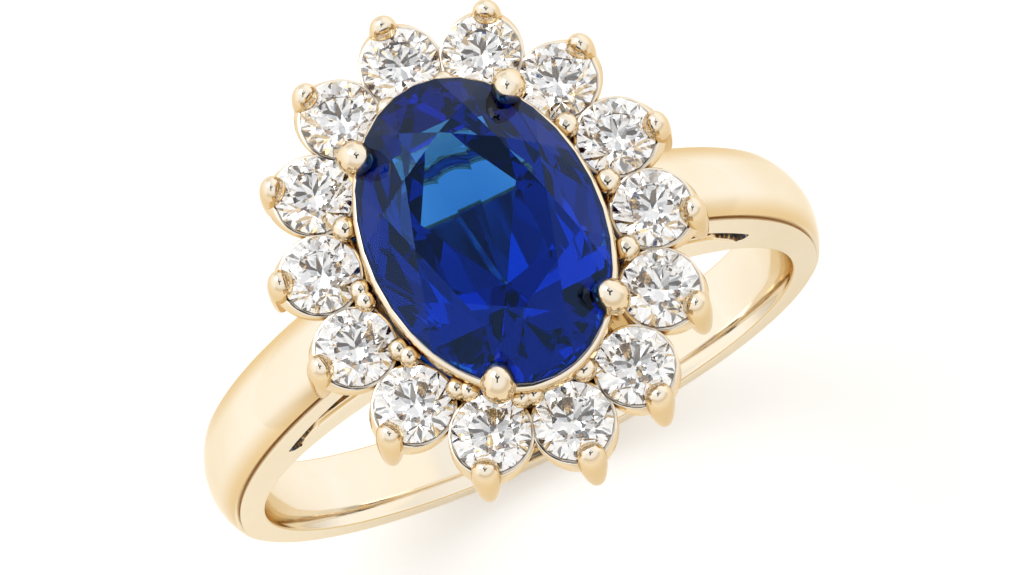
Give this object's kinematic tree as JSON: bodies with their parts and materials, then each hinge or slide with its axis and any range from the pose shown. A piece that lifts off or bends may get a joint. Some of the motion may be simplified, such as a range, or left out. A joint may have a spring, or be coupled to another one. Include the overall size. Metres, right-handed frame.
{
  "type": "engagement ring",
  "caption": "Engagement ring with an oval sapphire in claws, a halo of round diamonds, and a yellow gold cathedral shank.",
  "frame": {"origin": "centre of the finger hole", "axes": "+Y along the finger hole, the long way of the oval stone; +Z towards the head; +X across the head"},
  "size_m": [0.02, 0.0144, 0.0259],
  "materials": {
    "gold": "high polish, stands in for yellow gold",
    "sapphire": "polished facets",
    "diamond": "polished facets"
  },
  "bodies": {
    "root": {"shank": "gold", "halo_frame": "gold", "seat_rail": "gold", "base_rail": "gold", "sapphire": "sapphire", "claw_01": "gold", "claw_02": "gold", "claw_03": "gold", "claw_04": "gold", "outer_prong_01": "gold", "outer_prong_02": "gold", "outer_prong_03": "gold", "outer_prong_04": "gold", "outer_prong_05": "gold", "outer_prong_06": "gold", "outer_prong_07": "gold", "outer_prong_08": "gold", "outer_prong_09": "gold", "outer_prong_10": "gold", "outer_prong_11": "gold", "outer_prong_12": "gold", "outer_prong_13": "gold", "outer_prong_14": "gold", "inner_prong_01": "gold", "inner_prong_02": "gold", "inner_prong_03": "gold", "inner_prong_04": "gold", "inner_prong_05": "gold", "inner_prong_06": "gold", "inner_prong_07": "gold", "inner_prong_08": "gold", "inner_prong_09": "gold", "inner_prong_10": "gold", "inner_prong_11": "gold", "diamond_01": "diamond", "diamond_02": "diamond", "diamond_03": "diamond", "diamond_04": "diamond", "diamond_05": "diamond", "diamond_06": "diamond", "diamond_07": "diamond", "diamond_08": "diamond", "diamond_09": "diamond", "diamond_10": "diamond", "diamond_11": "diamond", "diamond_12": "diamond", "diamond_13": "diamond", "diamond_14": "diamond"}
  },
  "joints": []
}
